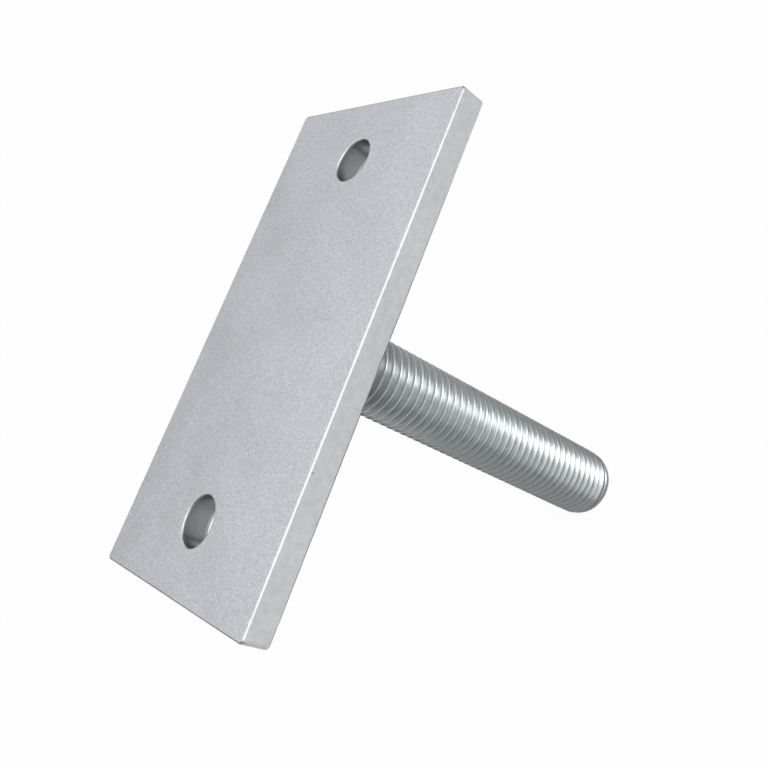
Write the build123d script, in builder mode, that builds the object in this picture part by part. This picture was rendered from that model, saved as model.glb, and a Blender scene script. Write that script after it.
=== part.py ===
from build123d import *
import os

# Adjustable stump head: a flat bearing plate, bolted up under a floor bearer, on a threaded rod that screws
# into the top of a steel post.
# The origin is the centre of the plate's top face. X runs across the plate, Y along it, and the rod hangs down -Z.
# All sizes are in millimetres.

# Bearing plate, cut from flat bar
plate_length = 150.0
plate_width = 80.0
plate_thickness = 8.0
rolled_edge_radius = 0.9
cut_edge_bevel = 0.5

# Bolt holes, one at each end of the plate
hole_diameter = 14.0
hole_spacing = 110.0
hole_edge_break = 0.5

# Threaded rod, M24 x 3. The thread is drawn as V rings of its true width and depth, one for every two turns, so
# that they take few facets. The tip tapers from the crests to the roots, and its end edge is bevelled.
thread_diameter = 24.0
thread_pitch = 3.0
thread_depth = 1.84
turns_per_ring = 2
rod_length = 140.0
tip_taper_length = 5.0
tip_bevel = 1.4

# Fillet weld round the rod, on the plate's underside
weld_leg = 6.0

# Levels and radii that follow from the sizes
underside = -plate_thickness
rod_tip = underside - rod_length
rod_radius = thread_diameter / 2
root_radius = rod_radius - thread_depth
ring_spacing = turns_per_ring * thread_pitch
taper_start = rod_tip + tip_taper_length
weld_end = underside - weld_leg
ring_count = int((weld_end - taper_start) / ring_spacing)

# The bar's section has rounded corners from the rolling mill. Its two cut ends are deburred with a small bevel.
with BuildPart() as bearing_plate:
    with BuildSketch(Plane.XZ):
        with Locations((0, underside / 2)):
            RectangleRounded(plate_width, plate_thickness, rolled_edge_radius)
    extrude(amount=plate_length / 2, both=True)
    cut_ends = bearing_plate.faces().filter_by(Axis.Y)
    chamfer(cut_ends.edges(), cut_edge_bevel)
    with GridLocations(hole_spacing, hole_spacing, 1, 2):
        Hole(hole_diameter / 2)
    hole_rims = bearing_plate.edges().filter_by(GeomType.CIRCLE).filter_by(
        lambda rim: abs(rim.radius - hole_diameter / 2) < hole_edge_break / 2
    )
    chamfer(hole_rims, hole_edge_break)
bearing_plate.part.label = "bearing_plate"

# The rod is one turned profile. It starts square on the plate's underside and is plain inside the weld. Then it has
# the thread's V rings, set out upward from the tip's taper.
ring_levels = [taper_start + ring * ring_spacing for ring in range(ring_count, 0, -1)]
ring_section = [(rod_radius, 0), (root_radius, -thread_pitch / 2), (rod_radius, -thread_pitch)]
grooves = [(radius, level + drop) for level in ring_levels for radius, drop in ring_section]
with BuildPart() as threaded_rod:
    with BuildSketch(Plane.XZ):
        with BuildLine():
            Polyline(
                (0, underside),
                (rod_radius, underside),
                *grooves,
                (rod_radius, taper_start),
                (root_radius, rod_tip),
                (0, rod_tip),
                close=True,
            )
        make_face()
        tip_corner = vertices().group_by(Axis.Y)[0].sort_by(Axis.X)[-1]
        chamfer(tip_corner, tip_bevel)
    revolve(axis=Axis.Z)
threaded_rod.part.label = "threaded_rod"

# The weld is a plain fillet with equal legs on the plate and the rod
with BuildPart() as fillet_weld:
    with BuildSketch(Plane.XZ):
        with BuildLine():
            Polyline(
                (rod_radius, underside),
                (rod_radius + weld_leg, underside),
                (rod_radius, weld_end),
                close=True,
            )
        make_face()
    revolve(axis=Axis.Z)
fillet_weld.part.label = "fillet_weld"

os.makedirs("parts", exist_ok=True)
export_step(bearing_plate.part, "parts/bearing_plate.step")
export_step(threaded_rod.part, "parts/threaded_rod.step")
export_step(fillet_weld.part, "parts/fillet_weld.step")
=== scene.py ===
import bmesh
import bpy
import numpy as np
from bpy.props import FloatProperty, FloatVectorProperty, IntProperty, PointerProperty
from mathutils import Matrix, Vector


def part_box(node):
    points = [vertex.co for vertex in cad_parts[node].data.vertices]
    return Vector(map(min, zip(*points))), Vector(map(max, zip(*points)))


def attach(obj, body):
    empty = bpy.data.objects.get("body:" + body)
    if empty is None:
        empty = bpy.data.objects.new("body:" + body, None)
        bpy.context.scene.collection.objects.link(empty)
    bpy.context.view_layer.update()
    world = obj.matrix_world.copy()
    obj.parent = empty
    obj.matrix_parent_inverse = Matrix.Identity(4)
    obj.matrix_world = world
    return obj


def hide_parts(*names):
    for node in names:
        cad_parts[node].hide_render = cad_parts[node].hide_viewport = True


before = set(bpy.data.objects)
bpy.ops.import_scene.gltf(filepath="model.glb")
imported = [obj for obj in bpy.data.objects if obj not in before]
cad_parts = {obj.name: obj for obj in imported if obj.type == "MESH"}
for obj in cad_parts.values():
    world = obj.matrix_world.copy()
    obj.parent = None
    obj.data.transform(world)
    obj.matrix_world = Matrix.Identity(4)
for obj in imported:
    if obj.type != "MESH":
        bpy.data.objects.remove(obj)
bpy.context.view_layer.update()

bl_info = {
    "name": "Adjustable stump head",
    "version": (1, 0, 0),
    "blender": (4, 5, 0),
    "location": "3D View > Sidebar > Stump head",
    "description": "Dresses a welded plate and threaded rod in zinc-plated steel",
    "category": "Object",
}

PLATE_LOW, PLATE_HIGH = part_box("bearing_plate")
ROD_LOW, ROD_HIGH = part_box("threaded_rod")
WELD_LOW, WELD_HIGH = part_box("fillet_weld")

MM = 0.001
TURN = 2 * np.pi

# The plate's grids hold x, y, z and then these three marks
PLATE_MARKS = ("edge", "sawn", "bore")
EDGE, SAWN, BORE = 3, 4, 5

# Most of a noise's values lie in this range
NOISE_SPAN = {"From Min": 0.3, "From Max": 0.7}


# Colours and nodes


def linear(hex_colour):
    """Turns an sRGB hex colour into the linear red, green, blue and alpha that the shaders take."""
    channels = [int(hex_colour[k : k + 2], 16) / 255 for k in (1, 3, 5)]
    return [c / 12.92 if c <= 0.04045 else ((c + 0.055) / 1.055) ** 2.4 for c in channels] + [1.0]


def add_node(tree, kind, inputs=None, **settings):
    """Adds one node with its settings. Each input, by name or number, gets a value or a socket's link."""
    made = tree.nodes.new(kind)
    for key, value in settings.items():
        setattr(made, key, value)
    for key, value in (inputs or {}).items():
        if isinstance(value, bpy.types.NodeSocket):
            tree.links.new(value, made.inputs[key])
        else:
            made.inputs[key].default_value = value
    return made


def new_material(name):
    """An empty node material and its tree."""
    material = bpy.data.materials.get(name) or bpy.data.materials.new(name)
    material.use_nodes = True
    material.node_tree.nodes.clear()
    return material, material.node_tree


def grain(size_mm):
    """The noise scale whose blotches are about size_mm across on Object coordinates, which are in metres."""
    return 1000.0 / size_mm


# Mesh


def join_grids(name, grids, marks):
    """One closed mesh from several grids of points in mm, each (rows, columns, 3 + number of marks).

    Each grid's neighbouring points make quads. The numbers after x, y and z are kept on the points as
    attributes with the names in marks. Edges that two grids share lie on the same points, so merging them
    closes the skin. A grid that runs to a point or starts along a slant has points that fall together there,
    and its quads become triangles.
    """
    points = np.concatenate([g.reshape(-1, 3 + len(marks)) for g in grids])
    faces, start = [], 0
    for g in grids:
        k = start + np.arange(g.shape[0] * g.shape[1]).reshape(g.shape[:2])
        faces.append(np.stack([k[:-1, :-1], k[:-1, 1:], k[1:, 1:], k[1:, :-1]], axis=-1).reshape(-1, 4))
        start += k.size
    faces = np.concatenate(faces)
    mesh = bpy.data.meshes.new(name)
    mesh.vertices.add(len(points))
    mesh.vertices.foreach_set("co", (points[:, :3] * MM).astype(np.float32).ravel())
    mesh.loops.add(faces.size)
    mesh.loops.foreach_set("vertex_index", faces.astype(np.int32).ravel())
    mesh.polygons.add(len(faces))
    mesh.polygons.foreach_set("loop_start", np.arange(0, faces.size, 4, dtype=np.int32))
    mesh.update(calc_edges=True)
    for column, mark in enumerate(marks, start=3):
        kept = mesh.attributes.new(mark, "FLOAT", "POINT")
        kept.data.foreach_set("value", points[:, column].astype(np.float32))
    work = bmesh.new()
    work.from_mesh(mesh)
    bmesh.ops.remove_doubles(work, verts=work.verts, dist=0.0001 * MM)
    bmesh.ops.recalc_face_normals(work, faces=work.faces)
    work.to_mesh(mesh)
    work.free()
    mesh.polygons.foreach_set("use_smooth", np.ones(len(mesh.polygons), dtype=bool))
    mesh.update()
    return mesh


def place_piece(name, mesh, material, node):
    """Puts a finished mesh in the scene as a piece that rides on the body and stands for its CAD node."""
    old = bpy.data.objects.get(name)
    if old:
        bpy.data.objects.remove(old)
    piece = bpy.data.objects.new(name, mesh)
    bpy.context.scene.collection.objects.link(piece)
    mesh.materials.append(material)
    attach(piece, "root")
    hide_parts(node)
    return piece


# Bearing plate


def edge_wear(x, y):
    """The factor on the edge rounding at x, y in mm: 1, two slow sines and a few small nicks.

    Each nick is a bell curve along y, on the +X edge alone. Their places are listed.
    """
    nick_places = np.array([-69.5, -33.0, -3.5, 24.0, 61.0])
    nick_width = 0.55
    nick_depth = 0.3
    nicks = np.exp(-(((y[:, None] - nick_places) / nick_width) ** 2)).sum(axis=1) * (x > 0)
    return 1 + 0.05 * np.sin(0.55 * y + 0.1 * x) + 0.04 * np.sin(0.23 * y + 1) + nick_depth * nicks


def half_outline(half_width, half_length, corner, step):
    """The outline of the plate's +Y half, from (half_width, 0) round the end and back along the middle line.

    Two straight sides, the sawn end and two quarter circles of radius corner between them, then the line
    y = 0. Returns the points, their outward directions and how many belong to the plate's own edge.
    """
    cx, cy = half_width - corner, half_length - corner
    side = np.linspace(0, cy, int(cy / step) + 1)
    end = np.linspace(cx, -cx, int(2 * cx / step) + 1)
    bend = np.linspace(0, TURN / 4, 9)[1:-1]
    middle = np.linspace(-half_width, half_width, int(2 * half_width / step) + 1)[1:]
    on_side = np.ones(len(side))
    on_end = np.ones(len(end))
    on_middle = np.ones(len(middle))
    x = [half_width * on_side, cx + corner * np.cos(bend), end, -cx - corner * np.sin(bend),
         -half_width * on_side, middle]
    y = [side, cy + corner * np.sin(bend), half_length * on_end, cy + corner * np.cos(bend),
         side[::-1], 0 * on_middle]
    out_x = [on_side, np.cos(bend), 0 * on_end, -np.sin(bend), -on_side, 0 * on_middle]
    out_y = [0 * on_side, np.sin(bend), on_end, np.cos(bend), 0 * on_side, 0 * on_middle]
    points = np.stack([np.concatenate(x), np.concatenate(y)], axis=-1)
    out = np.stack([np.concatenate(out_x), np.concatenate(out_y)], axis=-1)
    return points, out, len(points) - len(middle)


def face_and_bore(inner, centre, hole, lip, top, under, rows):
    """One half's top face, hole wall and underside as one grid, in mm, with inner as its outer edge.

    Each column starts at a point of inner, at share 0, and runs straight to the hole's rim, at share 1. Then
    it goes over the rim by a quarter circle of radius lip, down the wall, over the lower rim and back out.
    """
    ray = inner - centre
    ray /= np.linalg.norm(ray, axis=1, keepdims=True)
    # Rows close to the outer edge and the rim keep the face's shading flat right up to the rounded edges.
    near_edge = [0, 0.006]
    near_rim = [0.992, 1]
    first = 0.02
    span = 0.96
    crowding = 0.8
    inside = first + span * np.linspace(0, 1, rows) ** crowding
    share = np.concatenate([near_edge, inside, near_rim])[:, None, None]
    face = inner * (1 - share) + (centre + ray * (hole + lip)) * share

    bend = np.linspace(0, TURN / 4, 6)[1:]
    lip_out = hole + lip * (1 - np.sin(bend))
    lip_down = lip * (1 - np.cos(bend))
    wall = np.linspace(top - lip, under + lip, 14)[1:-1]
    reach = np.concatenate([lip_out, np.full(len(wall), hole), lip_out[::-1]])
    flat = np.concatenate([face, centre + ray * reach[:, None, None], face[::-1]])
    on_face = np.ones(len(face))
    level = np.concatenate([top * on_face, top - lip_down, wall, under + lip_down[::-1], under * on_face])

    grid = np.zeros(flat.shape[:2] + (6,))
    grid[..., :2] = flat
    grid[..., 2] = level[:, None]
    rim_row = len(face)
    wall_row = rim_row + len(bend)
    grid[rim_row:-rim_row, :, EDGE] = 1
    grid[wall_row:-wall_row, :, BORE] = 1
    return np.concatenate([grid, grid[:, :1]], axis=1)


def edge_band(outline, out, radius, sawn, top, under):
    """The plate's own edge round one half as a grid, in mm: a section carried along the outline.

    The section is a quarter circle of that radius from the face, the flat side and a quarter circle to the
    underside. A quarter circle is drawn in by 1 - sin and lowered by 1 - cos of the angle it has turned.
    """
    turned = np.linspace(0, TURN / 4, 7)[:, None]
    drawn_in = (1 - np.sin(turned)) * radius
    lowered = (1 - np.cos(turned)) * radius
    share = np.linspace(0, 1, 11)[1:-1, None]
    side = (top - radius) * (1 - share) + (under + radius) * share
    inset = np.concatenate([drawn_in, 0 * side, drawn_in[::-1]])
    band = np.zeros(inset.shape + (6,))
    band[..., :2] = outline - out * inset[..., None]
    band[..., 2] = np.concatenate([top - lowered, side, under + lowered[::-1]])
    band[1:-1, :, EDGE] = 1
    band[1:-1, :, SAWN] = sawn
    return band


def plate_grids(s):
    """The plate's skin as grids, in mm: for each half its faces with their hole, and a band over the edge.

    The edge radius passes from the rolled long edges to the sawn ends round the corners. The mark edge is 1
    on the plate's own edge and in the holes, sawn on the cut ends and bore on the holes' walls.
    """
    half_width, half_length = PLATE_HIGH[0] / MM, PLATE_HIGH[1] / MM
    top, under = PLATE_HIGH[2] / MM, PLATE_LOW[2] / MM
    hole, lip = s.hole_radius / MM, s.hole_break / MM
    centre = np.array([0.0, s.hole_spacing / MM / 2])
    outline, out, edge_count = half_outline(half_width, half_length, s.corner_round / MM, s.plate_step / MM)
    sawn = np.abs(out[:, 1])
    own = slice(0, edge_count)
    grids = []
    for side in (1, -1):
        radius = (s.rolled_radius * (1 - sawn) + s.sawn_radius * sawn) / MM
        radius *= edge_wear(outline[:, 0], outline[:, 1] * side)
        # The face ends where the outline is drawn in by the edge radius, and so does the middle line.
        inner = outline - out * radius[:, None]
        left = radius[edge_count - 1] - half_width
        right = half_width - radius[0]
        inner[edge_count:, 0] = np.clip(inner[edge_count:, 0], left, right)
        half = [
            face_and_bore(inner, centre, hole, lip, top, under, s.face_rows),
            edge_band(outline[own], out[own], radius[own], sawn[own], top, under),
        ]
        for grid in half:
            grid[..., 1] *= side
        grids += half
    return grids


# Threaded rod


def thread_height(across, pitch, depth):
    """The rolled thread's height over its root at a distance across from the crest's middle, both in mm.

    A crest flat of an eighth of the pitch, flanks at 30 degrees to straight out, and a rounded root. At each
    corner the larger of a and 0 is softened to half of a + sqrt(a * a + b * b), where b is the blend.
    """
    root_blend = 0.16 * depth
    crest_blend = 0.35 * root_blend
    flank = (np.abs(across) - pitch / 16) / np.tan(TURN / 12)
    down = 0.5 * (flank + np.sqrt(flank**2 + crest_blend**2))
    gap = depth - down
    return np.clip(0.5 * (gap + np.sqrt(gap**2 + root_blend**2)), 0, None)


def rod_grids(s):
    """The rod's skin as grids, in mm: a one-start right-hand thread whose grid rows follow the helix.

    Row j at turn t stands at z = top - fall(j) + pitch * t, so a crest is one unbroken row all the way down.
    A wedge that starts at nothing and grows to one pitch closes each end of the helix onto a flat ring.
    """
    radius, low, high = ROD_HIGH[0] / MM, ROD_LOW[2] / MM, ROD_HIGH[2] / MM
    pitch, depth = s.pitch / MM, s.thread_depth / MM
    taper, round_off = s.tip_taper / MM, s.tip_round / MM
    root = radius - depth
    # Where the rows lie across a pitch of 3 mm: close together at the crest and wider apart down the flanks
    flank_rows = np.array([0.08, 0.16, 0.28, 0.48, 0.72, 0.95, 1.14, 1.32])
    across = np.concatenate([[-1.5], -flank_rows[::-1], [0], flank_rows]) * pitch / 3
    plain_start = 0.2
    nose_length = 5
    top = high - pitch - plain_start
    turns = int((high - low - nose_length) / pitch)
    count = turns * len(across) + 1
    fall = np.arange(count) // len(across) * pitch + np.tile(across - across[0], turns + 1)[:count]
    share = np.arange(s.thread_columns + 1) / s.thread_columns
    cos, sin = np.cos(TURN * (share % 1)), np.sin(TURN * (share % 1))

    def surface(z):
        """Radius at height z: the lesser of thread and tip cone, softly joined, less the tip's rounding.

        The thread's depth fades over its last turns by a smooth step. The lesser of a and b is softened to
        half of a + b - sqrt((a - b) squared + soft squared). The rounding is a quarter circle.
        """
        plain_end = 2
        run_out = 2.4 * pitch
        least_kept = 0.12
        rise = np.clip((z - low - plain_end) / run_out, 0, 1)
        kept = least_kept + (1 - least_kept) * rise**2 * (3 - 2 * rise)
        phase = (top - z + pitch * share) / pitch + across[0] / pitch + 0.5
        off = (phase % 1 - 0.5) * pitch
        wear = 0.05 * np.sin(TURN * 3 * share + z) + 0.04 * np.sin(TURN * 11 * share + 2.3 * z)
        threaded = radius - kept * (depth - thread_height(off, pitch, depth) * (1 + 0.25 * wear))

        margin = 0.3
        cone_power = 0.8
        soft = 0.25
        up_taper = (z - low) / taper
        cone = root - margin + (radius + margin - root) * np.clip(up_taper, 0, 1) ** cone_power
        lesser = 0.5 * (threaded + cone - np.sqrt((threaded - cone) ** 2 + soft**2))
        lesser += 0.5 * soft * np.clip(up_taper - 1, 0, 1)
        up_round = np.clip((z - low) / round_off, 0, 1)
        return np.minimum(lesser, radius) - round_off * (1 - np.sqrt(1 - (1 - up_round) ** 2))

    def grid(z):
        """Points of the rows at heights z, with the share of the thread's height as their mark."""
        r = surface(z)
        return np.stack([r * cos, r * sin, z, np.clip((r - root) / depth, 0, 1)], axis=-1)

    def end_face(ring):
        """A flat face from a ring of points to its middle."""
        inward = np.linspace(1, 0, 8)[:, None, None]
        return ring * np.array([1, 1, 0, 1]) * inward + np.array([0, 0, ring[0, 2], 0])

    helix = top - fall[:, None] + pitch * share
    step = fall[: len(across) + 1, None]
    start = helix[:1] + (1 - share) * (pitch - step[::-1])
    finish = helix[-1:] - share * step
    foot = finish[-1, 0]
    crowding = 0.6
    nose_down = (1 - np.linspace(0, 1, 16) ** crowding)[:, None]
    nose = grid(low + (foot - low) * nose_down + 0 * share)
    begun = grid(start)
    return [grid(helix), begun, grid(finish), nose, end_face(nose[-1]), end_face(begun[-1])]


# Fillet weld


def weld_grids(s):
    """The fillet weld as a closed ring, in mm: a crowned section carried round the rod.

    The section is the line between the two toes, swelled by a sine of its share v and by ripples, and two
    lines back into the plate and the rod. A ripple's ends lie to one side of its middle by the square of
    their distance from it, as in laid weld metal. Slow sines make the ripples and toes a little uneven.
    """
    outer, low, high = WELD_HIGH[0] / MM, WELD_LOW[2] / MM, WELD_HIGH[2] / MM
    inner = ROD_HIGH[0] / MM
    columns = 360
    rows = 22
    turn = np.linspace(0, TURN, columns + 1)[None]
    v = np.linspace(0, 1, rows)[:, None]
    trail = 18
    sharpness = 1.6
    phase = s.weld_ripples * turn + trail * (v - 0.5) ** 2
    phase = phase + 1.1 * np.sin(3 * turn) + 0.7 * np.sin(7 * turn + 2)
    ripple = 0.5 + 0.5 * np.cos(phase)
    swell = np.sin(np.pi * v) * (s.weld_crown / MM + s.weld_ripple / MM * ripple**sharpness)
    # The swell stands at 45 degrees to plate and rod, so this share of it goes out and as much goes down
    diagonal = 0.707
    toe = 0.18 * np.sin(5 * turn) + 0.12 * np.sin(13 * turn + 1)
    margin_out = 0.35
    margin_down = 0.3
    r = inner + (outer - inner - margin_out + toe * 0.5) * (1 - v) + swell * diagonal
    z = high - (high - low - margin_down + toe * 0.4) * v - swell * diagonal
    sunk = 1.2
    inside = np.full_like(turn, inner - sunk)
    section_r = np.concatenate([r, inside, inside, r[:1]])
    section_z = np.concatenate([z, z[-1:], np.full_like(turn, high), z[:1]])
    made = np.zeros(section_r.shape + (4,))
    made[..., 0] = section_r * np.cos(turn)
    made[..., 1] = section_r * np.sin(turn)
    made[..., 2] = section_z
    made[:rows, :, 3] = ripple
    made[:, -1] = made[:, 0]
    return [made]


# Finishes


def zinc_plate_finish(s):
    """Electroplated zinc on hot-rolled flat bar: a dull, slightly bluish metal grey with a fine sandy grain.

    The grain is the mill surface showing through the thin plating, the clouds are uneven plating, and there
    is a small dark pit here and there. The long sides are smoother and a neutral grey, the sawn ends have the
    blade's upright streaks, and the bores are darker, partly from their drilled finish and partly as painted
    shade in the holes, with fine rings from the drill. The grain is drawn at 0.6 mm, about the finest that
    the picture shows. The real streaks and rings are about 0.1 mm apart, and are drawn at 0.5 and 0.3 mm, so
    that they show.
    """
    material, tree = new_material("zinc_plated_hot_rolled_steel")
    where = add_node(tree, "ShaderNodeTexCoord").outputs["Object"]
    edge, sawn, bore = [
        add_node(tree, "ShaderNodeAttribute", attribute_name=name).outputs["Fac"] for name in PLATE_MARKS
    ]
    worked = add_node(tree, "ShaderNodeMath", {0: sawn, 1: bore}, operation="MAXIMUM").outputs["Value"]

    sand = add_node(tree, "ShaderNodeTexNoise", {
        "Vector": where, "Scale": grain(0.6), "Detail": 3.0, "Roughness": 0.7,
    }).outputs["Fac"]
    fleck = add_node(tree, "ShaderNodeTexNoise", {
        "Vector": where, "Scale": grain(1.9), "Detail": 2.0, "Roughness": 0.6,
    }).outputs["Fac"]
    cloud = add_node(tree, "ShaderNodeTexNoise", {
        "Vector": where, "Scale": grain(20), "Detail": 4.0, "Roughness": 0.55,
    }).outputs["Fac"]
    pits = add_node(tree, "ShaderNodeTexVoronoi", {"Vector": where, "Scale": grain(13)}).outputs["Distance"]
    saw_lines = (grain(0.5), grain(8), grain(8))
    drill_rings = (grain(6), grain(6), grain(0.3))
    stretch = add_node(tree, "ShaderNodeMix", {0: bore, 4: saw_lines, 5: drill_rings}, data_type="VECTOR")
    drawn_out = add_node(tree, "ShaderNodeVectorMath", {
        0: where, 1: stretch.outputs[1],
    }, operation="MULTIPLY")
    streak = add_node(tree, "ShaderNodeTexNoise", {
        "Vector": drawn_out.outputs["Vector"], "Scale": 1.0, "Detail": 3.0,
    }).outputs["Fac"]

    # Base colour: two tones of grain, then the side's own and the bore's, which is partly painted shade
    fine = add_node(tree, "ShaderNodeMapRange", {"Value": sand, **NOISE_SPAN}).outputs["Result"]
    grained = add_node(tree, "ShaderNodeMix", {
        0: fine, 6: list(s.plate_dark), 7: list(s.plate_light),
    }, data_type="RGBA")
    sided = add_node(tree, "ShaderNodeMix", {
        0: edge, 6: grained.outputs[2], 7: list(s.side_colour),
    }, data_type="RGBA")
    bored_and_shaded = add_node(tree, "ShaderNodeMix", {
        0: bore, 6: sided.outputs[2], 7: list(s.bore_finish_and_shade),
    }, data_type="RGBA")

    # Its brightness: clouds, flecks or streaks, and pits
    cloudy = add_node(tree, "ShaderNodeMapRange", {
        "Value": cloud, **NOISE_SPAN, "To Min": 0.95, "To Max": 1.035,
    }).outputs["Result"]
    flecked = add_node(tree, "ShaderNodeMapRange", {
        "Value": fleck, **NOISE_SPAN, "To Min": 0.93, "To Max": 1.06,
    }).outputs["Result"]
    streaky = add_node(tree, "ShaderNodeMapRange", {
        "Value": streak, **NOISE_SPAN, "To Min": 0.88, "To Max": 1.06,
    }).outputs["Result"]
    pitted = add_node(tree, "ShaderNodeMapRange", {
        "Value": pits, "From Min": 0.012, "From Max": 0.035, "To Min": 0.5, "To Max": 1.0,
    }).outputs["Result"]
    finer = add_node(tree, "ShaderNodeMix", {0: worked, 2: flecked, 3: streaky}, data_type="FLOAT")
    tone = add_node(tree, "ShaderNodeMath", {0: cloudy, 1: finer.outputs[0]}, operation="MULTIPLY")
    tone = add_node(tree, "ShaderNodeMath", {0: tone.outputs["Value"], 1: pitted}, operation="MULTIPLY")
    colour = add_node(tree, "ShaderNodeVectorMath", {
        0: bored_and_shaded.outputs[2], "Scale": tone.outputs["Value"],
    }, operation="SCALE")

    # Gloss and relief: the face is duller than the sides, and worked metal is the roughest to the touch
    dull = add_node(tree, "ShaderNodeMapRange", {
        "Value": cloud, **NOISE_SPAN, "To Min": 0.40, "To Max": 0.48,
    }).outputs["Result"]
    rough = add_node(tree, "ShaderNodeMix", {0: edge, 2: dull, 3: 0.34}, data_type="FLOAT")
    relief = add_node(tree, "ShaderNodeMix", {0: worked, 2: sand, 3: streak}, data_type="FLOAT")
    depth = add_node(tree, "ShaderNodeMapRange", {"Value": edge, "To Min": 0.5, "To Max": 0.12})
    deeper = add_node(tree, "ShaderNodeMath", {0: depth.outputs["Result"], 1: worked}, operation="MAXIMUM")
    bump = add_node(tree, "ShaderNodeBump", {
        "Height": relief.outputs[0], "Strength": deeper.outputs["Value"], "Distance": 0.03 * MM,
    })
    shader = add_node(tree, "ShaderNodeBsdfPrincipled", {
        "Base Color": colour.outputs["Vector"], "Metallic": 1.0, "Roughness": rough.outputs[0],
        "Normal": bump.outputs["Normal"],
    })
    add_node(tree, "ShaderNodeOutputMaterial", {"Surface": shader.outputs["BSDF"]})
    return material


def zinc_rod_finish(s):
    """Bright zinc on rolled all-thread bar: smooth and bright, with painted shade darkening the thread's
    root.

    Rolling leaves faint streaks that run round the rod. The real ones are finer, and are drawn at 0.4 mm so
    that they show. The welding has left the first turns under the plate gritty, so that their crests glint in
    dots. Those turns are also darkened towards the plate: painted shade where the plate's shadow falls.
    """
    gritty_from = -55 * MM
    gritty_to = -15 * MM
    plate_shade_from = -38 * MM
    plate_shade_to = -24 * MM
    material, tree = new_material("bright_zinc_rolled_thread")
    where = add_node(tree, "ShaderNodeTexCoord").outputs["Object"]
    height = add_node(tree, "ShaderNodeAttribute", attribute_name="height").outputs["Fac"]
    level = add_node(tree, "ShaderNodeSeparateXYZ", {"Vector": where}).outputs["Z"]
    gritty = add_node(tree, "ShaderNodeMapRange", {
        "Value": level, "From Min": gritty_from, "From Max": gritty_to,
    }).outputs["Result"]

    round_rod = (grain(4), grain(4), grain(0.4))
    drawn_out = add_node(tree, "ShaderNodeVectorMath", {0: where, 1: round_rod}, operation="MULTIPLY")
    streak = add_node(tree, "ShaderNodeTexNoise", {
        "Vector": drawn_out.outputs["Vector"], "Scale": 1.0, "Detail": 3.0,
    }).outputs["Fac"]
    grit = add_node(tree, "ShaderNodeTexNoise", {
        "Vector": where, "Scale": grain(0.6), "Detail": 3.0, "Roughness": 0.65,
    }).outputs["Fac"]

    # Base colour from root to crest, darkened in the root as painted shade, and its brightness: streaks,
    # spots of grit and painted shade towards the plate
    # Painted shade: the colour darkens from crest to root, down into the thread's recess
    reach = add_node(tree, "ShaderNodeMapRange", {"Value": height, "From Min": 0.02, "From Max": 0.3})
    colour = add_node(tree, "ShaderNodeMix", {
        0: reach.outputs["Result"], 6: list(s.root_painted_shade), 7: list(s.crest_colour),
    }, data_type="RGBA")
    streaky = add_node(tree, "ShaderNodeMapRange", {
        "Value": streak, **NOISE_SPAN, "To Min": 0.9, "To Max": 1.04,
    }).outputs["Result"]
    spotty = add_node(tree, "ShaderNodeMapRange", {
        "Value": grit, **NOISE_SPAN, "To Min": 0.72, "To Max": 1.1,
    }).outputs["Result"]
    spots = add_node(tree, "ShaderNodeMix", {0: gritty, 2: 1.0, 3: spotty}, data_type="FLOAT")
    # Painted shade: the colour is darkened towards the plate, where its shadow falls on the rod
    painted_plate_shade = add_node(tree, "ShaderNodeMapRange", {
        "Value": level, "From Min": plate_shade_from, "From Max": plate_shade_to, "To Min": 1.0, "To Max": 0.62,
    }).outputs["Result"]
    tone = add_node(tree, "ShaderNodeMath", {0: streaky, 1: spots.outputs[0]}, operation="MULTIPLY")
    tone = add_node(tree, "ShaderNodeMath", {0: tone.outputs["Value"], 1: painted_plate_shade}, operation="MULTIPLY")
    tinted = add_node(tree, "ShaderNodeVectorMath", {
        0: colour.outputs[2], "Scale": tone.outputs["Value"],
    }, operation="SCALE")

    # Gloss and relief: shallow streaks all over, and grit that grows towards the plate
    rough = add_node(tree, "ShaderNodeMapRange", {
        "Value": streak, **NOISE_SPAN, "To Min": 0.26, "To Max": 0.35,
    })
    shallow = add_node(tree, "ShaderNodeBump", {"Height": streak, "Strength": 0.25, "Distance": 0.03 * MM})
    depth = add_node(tree, "ShaderNodeMapRange", {"Value": gritty, "To Min": 0.06, "To Max": 0.4})
    bump = add_node(tree, "ShaderNodeBump", {
        "Height": grit, "Strength": depth.outputs["Result"], "Distance": 0.05 * MM,
        "Normal": shallow.outputs["Normal"],
    })
    shader = add_node(tree, "ShaderNodeBsdfPrincipled", {
        "Base Color": tinted.outputs["Vector"], "Metallic": 1.0, "Roughness": rough.outputs["Result"],
        "Normal": bump.outputs["Normal"],
    })
    add_node(tree, "ShaderNodeOutputMaterial", {"Surface": shader.outputs["BSDF"]})
    return material


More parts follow.
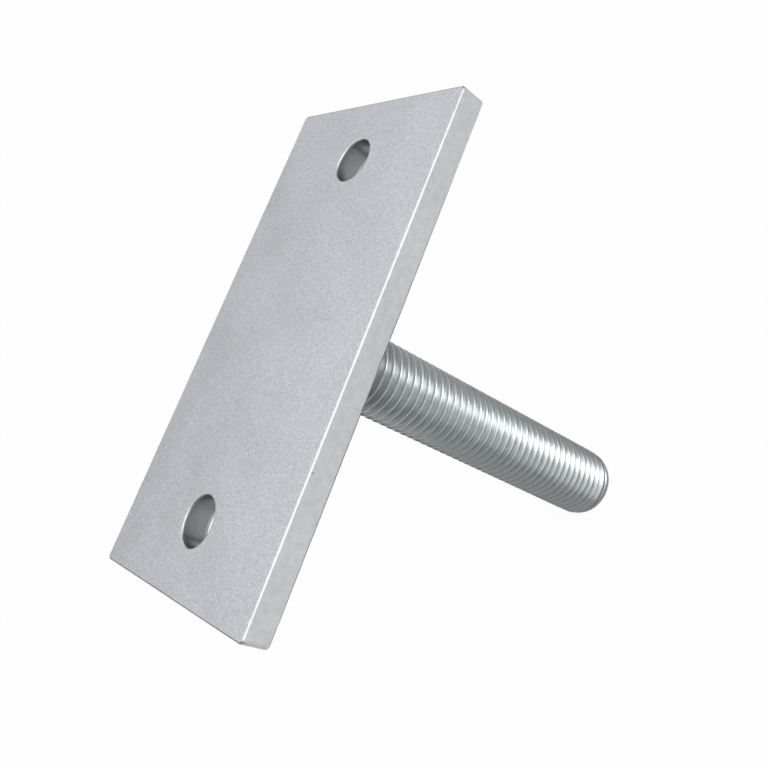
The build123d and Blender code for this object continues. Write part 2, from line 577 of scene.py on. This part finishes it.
def weld_finish(s):
    """Plated-over weld metal: the same zinc over stacked ripples, with painted shade darkening the valleys
    between.

    Its grit is drawn at 0.9 mm, coarser than the real grit, so that it shows.
    """
    material, tree = new_material("zinc_plated_weld_bead")
    where = add_node(tree, "ShaderNodeTexCoord").outputs["Object"]
    height = add_node(tree, "ShaderNodeAttribute", attribute_name="height").outputs["Fac"]
    grit = add_node(tree, "ShaderNodeTexNoise", {
        "Vector": where, "Scale": grain(0.9), "Detail": 4.0, "Roughness": 0.6,
    }).outputs["Fac"]
    # Painted shade: the colour darkens in the valleys between the ripples
    colour = add_node(tree, "ShaderNodeMix", {
        0: height, 6: list(s.weld_valley_shade), 7: list(s.weld_colour),
    }, data_type="RGBA")
    patchy = add_node(tree, "ShaderNodeMapRange", {
        "Value": grit, **NOISE_SPAN, "To Min": 0.85, "To Max": 1.05,
    })
    tinted = add_node(tree, "ShaderNodeVectorMath", {
        0: colour.outputs[2], "Scale": patchy.outputs["Result"],
    }, operation="SCALE")
    bump = add_node(tree, "ShaderNodeBump", {"Height": grit, "Strength": 0.4, "Distance": 0.08 * MM})
    shader = add_node(tree, "ShaderNodeBsdfPrincipled", {
        "Base Color": tinted.outputs["Vector"], "Metallic": 1.0, "Roughness": 0.42,
        "Normal": bump.outputs["Normal"],
    })
    add_node(tree, "ShaderNodeOutputMaterial", {"Surface": shader.outputs["BSDF"]})
    return material


# Settings


class StumpPlateSettings(bpy.types.PropertyGroup):
    """Sizes and colours of the bearing plate."""

    hole_radius: FloatProperty(
        name="Hole radius", description="Radius of each bolt hole",
        default=7 * MM, unit="LENGTH", precision=4)
    hole_spacing: FloatProperty(
        name="Hole spacing", description="Distance between the two holes' centres",
        default=110 * MM, unit="LENGTH", precision=4)
    hole_break: FloatProperty(
        name="Hole edge break", description="Rounding on the holes' rims",
        default=0.5 * MM, unit="LENGTH", precision=4)
    corner_round: FloatProperty(
        name="Corner rounding", description="Rounding of the four upright corners",
        default=1.5 * MM, unit="LENGTH", precision=4)
    rolled_radius: FloatProperty(
        name="Rolled edge radius", description="Rounding of the long mill edges",
        default=0.7 * MM, unit="LENGTH", precision=4)
    sawn_radius: FloatProperty(
        name="Sawn edge radius", description="Rounding of the two cut ends",
        default=0.5 * MM, unit="LENGTH", precision=4)
    plate_step: FloatProperty(
        name="Outline step", description="Distance between points on the outline",
        default=0.5 * MM, unit="LENGTH", precision=5)
    face_rows: IntProperty(
        name="Face rows", description="Rows of points from outline to hole", default=12, min=4, max=60)
    plate_light: FloatVectorProperty(
        name="Plate light grain", description="Lighter grain of the plated face",
        default=linear("#E9EAEE"), subtype="COLOR", size=4, min=0, max=1)
    plate_dark: FloatVectorProperty(
        name="Plate dark grain", description="Darker grain of the plated face",
        default=linear("#C0C1C7"), subtype="COLOR", size=4, min=0, max=1)
    side_colour: FloatVectorProperty(
        name="Side colour", description="Smoother rolled sides and edges",
        default=linear("#C9CACC"), subtype="COLOR", size=4, min=0, max=1)
    # Darker bore walls: partly their drilled finish, partly painted shade in the holes
    bore_finish_and_shade: FloatVectorProperty(
        name="Bore colour", description="Duller drilled walls of the holes",
        default=linear("#8E9192"), subtype="COLOR", size=4, min=0, max=1)


class StumpRodSettings(bpy.types.PropertyGroup):
    """Sizes and colours of the threaded rod and its weld."""

    pitch: FloatProperty(
        name="Thread pitch", description="Distance between crests",
        default=3 * MM, unit="LENGTH", precision=4)
    thread_depth: FloatProperty(
        name="Thread depth", description="Height from root to crest",
        default=1.84 * MM, unit="LENGTH", precision=5)
    tip_taper: FloatProperty(
        name="Tip taper", description="Length of the cone at the tip",
        default=5 * MM, unit="LENGTH", precision=4)
    tip_round: FloatProperty(
        name="Tip rounding", description="Rounding of the tip's edge",
        default=2.4 * MM, unit="LENGTH", precision=4)
    thread_columns: IntProperty(
        name="Thread columns", description="Mesh columns round the rod", default=84, min=24, max=100)
    weld_crown: FloatProperty(
        name="Weld crown", description="Swell of the weld over a straight fillet",
        default=0.3 * MM, unit="LENGTH", precision=4)
    weld_ripple: FloatProperty(
        name="Ripple height", description="Height of each ripple of the weld",
        default=0.1 * MM, unit="LENGTH", precision=5)
    weld_ripples: IntProperty(
        name="Weld ripples", description="Ripples laid round the rod", default=48, min=8, max=120)
    crest_colour: FloatVectorProperty(
        name="Crest colour", description="Burnished zinc on the crests",
        default=linear("#C8CCCC"), subtype="COLOR", size=4, min=0, max=1)
    # Painted shade in the thread's roots, darker than the crest colour
    root_painted_shade: FloatVectorProperty(
        name="Root colour", description="Dull zinc in the roots",
        default=linear("#868C8B"), subtype="COLOR", size=4, min=0, max=1)
    # Painted shade between the weld's ripples
    weld_valley_shade: FloatVectorProperty(
        name="Weld valley colour", description="Darker tone between the weld's ripples",
        default=linear("#AEB0B3"), subtype="COLOR", size=4, min=0, max=1)
    weld_colour: FloatVectorProperty(
        name="Weld colour", description="Lighter tone of the plated weld",
        default=linear("#C4C5C9"), subtype="COLOR", size=4, min=0, max=1)


class StumpStageSettings(bpy.types.PropertyGroup):
    """Floor, lights, cards and camera."""

    floor_half: FloatProperty(
        name="Floor half size", description="Half the side of the floor",
        default=6.0, unit="LENGTH")
    lens: FloatProperty(
        name="Lens", description="Focal length for a 36 mm sensor",
        default=42.69, unit="CAMERA")
    overhead_watts: FloatProperty(
        name="Overhead power", description="Power of the wide lamp over the object",
        default=8, unit="POWER")
    edge_watts: FloatProperty(
        name="Edge strip power", description="Power of the strip for the plate's edge",
        default=1.8, unit="POWER")
    strip_watts: FloatProperty(
        name="Rod strip power", description="Power of the tall strip for the rod",
        default=1.3, unit="POWER")
    # The cards' colours are painted reflections: the cards glow at them, and only the metal's reflections
    # show them
    low_card: FloatVectorProperty(
        name="Low card", description="Grey card under the rod, seen in the metal",
        default=linear("#4C4E4F"), subtype="COLOR", size=4, min=0, max=1)
    side_card: FloatVectorProperty(
        name="Side cards", description="Grey cards past the plate's two ends and at the rod's tip",
        default=linear("#A6A8A8"), subtype="COLOR", size=4, min=0, max=1)
    back_card: FloatVectorProperty(
        name="Back card", description="Grey card behind the plate, seen in the metal",
        default=linear("#565658"), subtype="COLOR", size=4, min=0, max=1)
    floor_colour: FloatVectorProperty(
        name="Floor colour", description="Plain pale floor",
        default=linear("#F2F2F2"), subtype="COLOR", size=4, min=0, max=1)


# Stage


def shows_background(tree):
    """A socket that is 1 for the rays that show the background: camera, glossy and transmission rays."""
    path = add_node(tree, "ShaderNodeLightPath")
    seen = add_node(tree, "ShaderNodeMath", {
        0: path.outputs["Is Camera Ray"], 1: path.outputs["Is Glossy Ray"],
    }, operation="MAXIMUM")
    seen = add_node(tree, "ShaderNodeMath", {
        0: seen.outputs["Value"], 1: path.outputs["Is Transmission Ray"],
    }, operation="MAXIMUM")
    return seen.outputs["Value"]


def flat_sheet(name, corners, material):
    """One flat face with those corners in metres."""
    mesh = bpy.data.meshes.new(name)
    mesh.from_pydata(corners, [], [tuple(range(len(corners)))])
    mesh.materials.append(material)
    sheet = bpy.data.objects.new(name, mesh)
    bpy.context.scene.collection.objects.link(sheet)
    return sheet


def lay_floor(s):
    """A wide pale floor just under the rod's tip. It shows nearly white, and its matt share takes a shadow.

    Seen from below it is clear, so that the underside of the plate and its weld show.
    """
    tip_gap = 0.2 * MM
    white_share = 0.96
    material, tree = new_material("pale_matt_floor")
    part = add_node(tree, "ShaderNodeMath", {0: shows_background(tree), 1: white_share}, operation="MULTIPLY")
    matt = add_node(tree, "ShaderNodeBsdfDiffuse", {"Color": list(s.floor_colour)})
    white = add_node(tree, "ShaderNodeEmission", {"Strength": 1.0})
    mixed = add_node(tree, "ShaderNodeMixShader", {
        0: part.outputs["Value"], 1: matt.outputs["BSDF"], 2: white.outputs["Emission"],
    })
    below = add_node(tree, "ShaderNodeNewGeometry").outputs["Backfacing"]
    clear = add_node(tree, "ShaderNodeBsdfTransparent")
    one_way = add_node(tree, "ShaderNodeMixShader", {
        0: below, 1: mixed.outputs["Shader"], 2: clear.outputs["BSDF"],
    })
    add_node(tree, "ShaderNodeOutputMaterial", {"Surface": one_way.outputs["Shader"]})
    half, ground = s.floor_half, ROD_LOW[2] - tip_gap
    corners = [(-half, -half, ground), (half, -half, ground), (half, half, ground), (-half, half, ground)]
    floor = flat_sheet("floor", corners, material)


def set_world(scene):
    """A white studio all round. It shows at full strength, and lights matt surfaces at a lower one."""
    matt_strength = 0.6
    world = scene.world or bpy.data.worlds.new("studio")
    scene.world = world
    world.use_nodes = True
    tree = world.node_tree
    tree.nodes.clear()
    dim = add_node(tree, "ShaderNodeBackground", {"Color": linear("#FFFFFF"), "Strength": matt_strength})
    white = add_node(tree, "ShaderNodeBackground", {"Color": linear("#FFFFFF"), "Strength": 1.0})
    mixed = add_node(tree, "ShaderNodeMixShader", {
        0: shows_background(tree), 1: dim.outputs["Background"], 2: white.outputs["Background"],
    })
    add_node(tree, "ShaderNodeOutputWorld", {"Surface": mixed.outputs["Shader"]})


def softbox(name, place, size, watts):
    """A white rectangular soft light of that size in metres at place, turned to the origin."""
    data = bpy.data.lights.new(name, "AREA")
    data.shape, data.size, data.size_y = "RECTANGLE", size[0], size[1]
    data.energy = watts
    lamp = bpy.data.objects.new(name, data)
    lamp.location = place
    lamp.rotation_euler = (-Vector(place)).to_track_quat("-Z", "Y").to_euler()
    lamp.visible_camera = False
    bpy.context.scene.collection.objects.link(lamp)
    return lamp


def strip_turn(out, along):
    """The turn of a lamp that looks back down the direction out, its long side as near along as it can be."""
    back = Vector(out).normalized()
    long_side = (Vector(along) - back * back.dot(Vector(along))).normalized()
    short_side = long_side.cross(back)
    return Matrix((short_side, long_side, back)).transposed()


def light_only(lamp, names, shaded_by_all=True):
    """Lets a lamp light the objects of those names alone. Either everything shades them, or they alone do."""
    lit = bpy.data.collections.new(lamp.name + "_lit")
    for name in names:
        lit.objects.link(bpy.data.objects[name])
    lamp.light_linking.receiver_collection = lit
    if not shaded_by_all:
        lamp.light_linking.blocker_collection = lit


def hang_lamps(s):
    """A wide lamp overhead, a strip for the plate's bright edge line and one for the rod's bright band.

    The rod's strip stands along the rod and lights it alone, and the plate doesn't shade it.
    """
    overhead = softbox("overhead", (0.55, 0.15, 1.0), (2.4, 2.4), s.overhead_watts)
    light_only(overhead, ["plate_skin", "weld_skin", "floor"])
    edge_strip = softbox("edge_strip", (0.54, 0.15, 0.8), (1.1, 0.25), s.edge_watts)
    light_only(edge_strip, ["plate_skin"])
    rod_strip = softbox("rod_strip", (0.210, 0.152, 0.06), (0.14, 1.15), s.strip_watts)
    rod_strip.rotation_euler = strip_turn(out=(0.210, 0.152, 0.12), along=(-0.354, -0.196, 0.984)).to_euler()
    light_only(rod_strip, ["rod_skin"], shaded_by_all=False)


def glowing_reflection_card(name, corners, colour):
    """A card with those corners in metres that glows evenly at its colour, like a studio's flag. Only
    reflections show it, so its tone is a painted reflection.
    """
    material, tree = new_material(name)
    tone = add_node(tree, "ShaderNodeEmission", {"Color": list(colour), "Strength": 1.0})
    add_node(tree, "ShaderNodeOutputMaterial", {"Surface": tone.outputs["Emission"]})
    card = flat_sheet(name, corners, material)
    for way in ("camera", "diffuse", "transmission", "shadow", "volume_scatter"):
        setattr(card, "visible_" + way, False)


def disc(radius, level):
    """Corners of a level disc round the rod's axis."""
    turn = np.linspace(0, TURN, 64, endpoint=False)
    at_level = np.full(len(turn), level)
    return np.stack([radius * np.cos(turn), radius * np.sin(turn), at_level], axis=-1).tolist()


def upright(start, end, low, high):
    """Corners of an upright sheet over the line between two places on the floor."""
    return [(*start, low), (*end, low), (*end, high), (*start, high)]


def stand_cards(s):
    """Glowing cards that give the metal painted grey reflections: under the rod, at its tip, behind the plate
    and past its two ends.
    """
    tip = ROD_LOW[2]
    foot = -0.147
    side_top = 0.45
    glowing_reflection_card("card_under_rod", disc(0.11, tip + 0.2 * MM), s.low_card)
    glowing_reflection_card("card_at_tip", disc(0.022, tip + 0.4 * MM), s.side_card)
    glowing_reflection_card("card_behind", upright((-0.8, -0.7), (-0.8, 0.9), -0.14, 0.38), s.back_card)
    glowing_reflection_card("card_left", upright((-0.35, -0.3), (0.35, -0.3), foot, side_top), s.side_card)
    glowing_reflection_card("card_right", upright((-0.25, 0.35), (0.15, 0.35), foot, side_top), s.side_card)


def set_camera(scene, s):
    """The photograph's view: down over the plate's +X edge, rolled so that its length runs up the picture."""
    place = Vector((0.22468, -0.0394, 0.12644))
    forward = Vector((-0.7382, 0.2647, -0.6205)).normalized()
    upward = Vector((-0.0335, 0.9043, 0.4256)).normalized()
    shift = -0.1198
    data = bpy.data.cameras.new("camera")
    data.lens, data.sensor_width = s.lens, 36
    data.shift_x, data.shift_y = shift, shift
    data.clip_start, data.clip_end = 0.01, 50
    right = forward.cross(upward).normalized()
    turn = Matrix((right, right.cross(forward), -forward)).transposed().to_4x4()
    camera = bpy.data.objects.new("camera", data)
    camera.matrix_world = Matrix.Translation(place) @ turn
    scene.collection.objects.link(camera)
    scene.camera = camera
    scene.view_settings.view_transform = "Standard"


# Operators


class STUMP_OT_plate(bpy.types.Operator):
    """Builds the bearing plate's skin with its two bolt holes"""

    bl_idname = "stump.plate"
    bl_label = "Bearing plate"

    def execute(self, context):
        s = context.scene.stump_plate
        mesh = join_grids("plate_skin", plate_grids(s), PLATE_MARKS)
        place_piece("plate_skin", mesh, zinc_plate_finish(s), "bearing_plate")
        return {"FINISHED"}


class STUMP_OT_rod(bpy.types.Operator):
    """Builds the threaded rod's skin"""

    bl_idname = "stump.rod"
    bl_label = "Threaded rod"

    def execute(self, context):
        s = context.scene.stump_rod
        mesh = join_grids("rod_skin", rod_grids(s), ("height",))
        place_piece("rod_skin", mesh, zinc_rod_finish(s), "threaded_rod")
        return {"FINISHED"}


class STUMP_OT_weld(bpy.types.Operator):
    """Builds the fillet weld between plate and rod"""

    bl_idname = "stump.weld"
    bl_label = "Fillet weld"

    def execute(self, context):
        s = context.scene.stump_rod
        mesh = join_grids("weld_skin", weld_grids(s), ("height",))
        place_piece("weld_skin", mesh, weld_finish(s), "fillet_weld")
        return {"FINISHED"}


class STUMP_OT_stage(bpy.types.Operator):
    """Lays the floor and sets world, lamps, cards and camera, once the pieces are there to be lit"""

    bl_idname = "stump.stage"
    bl_label = "Stage"

    def execute(self, context):
        s = context.scene.stump_stage
        lay_floor(s)
        set_world(context.scene)
        hang_lamps(s)
        stand_cards(s)
        set_camera(context.scene, s)
        return {"FINISHED"}


class STUMP_PT_panel(bpy.types.Panel):
    """The pieces of the stump head, in the order in which they are built"""

    bl_idname = "STUMP_PT_panel"
    bl_label = "Stump head"
    bl_space_type = "VIEW_3D"
    bl_region_type = "UI"
    bl_category = "Stump head"

    def draw(self, context):
        for operator in (STUMP_OT_plate, STUMP_OT_rod, STUMP_OT_weld, STUMP_OT_stage):
            self.layout.operator(operator.bl_idname)


CLASSES = (
    StumpPlateSettings, StumpRodSettings, StumpStageSettings,
    STUMP_OT_plate, STUMP_OT_rod, STUMP_OT_weld, STUMP_OT_stage, STUMP_PT_panel,
)


def register():
    for cls in CLASSES:
        bpy.utils.register_class(cls)
    bpy.types.Scene.stump_plate = PointerProperty(type=StumpPlateSettings)
    bpy.types.Scene.stump_rod = PointerProperty(type=StumpRodSettings)
    bpy.types.Scene.stump_stage = PointerProperty(type=StumpStageSettings)


def unregister():
    del bpy.types.Scene.stump_stage
    del bpy.types.Scene.stump_rod
    del bpy.types.Scene.stump_plate
    for cls in reversed(CLASSES):
        bpy.utils.unregister_class(cls)


def main():
    register()
    bpy.ops.stump.plate()
    bpy.ops.stump.rod()
    bpy.ops.stump.weld()
    bpy.ops.stump.stage()


if __name__ == "__main__":
    main()
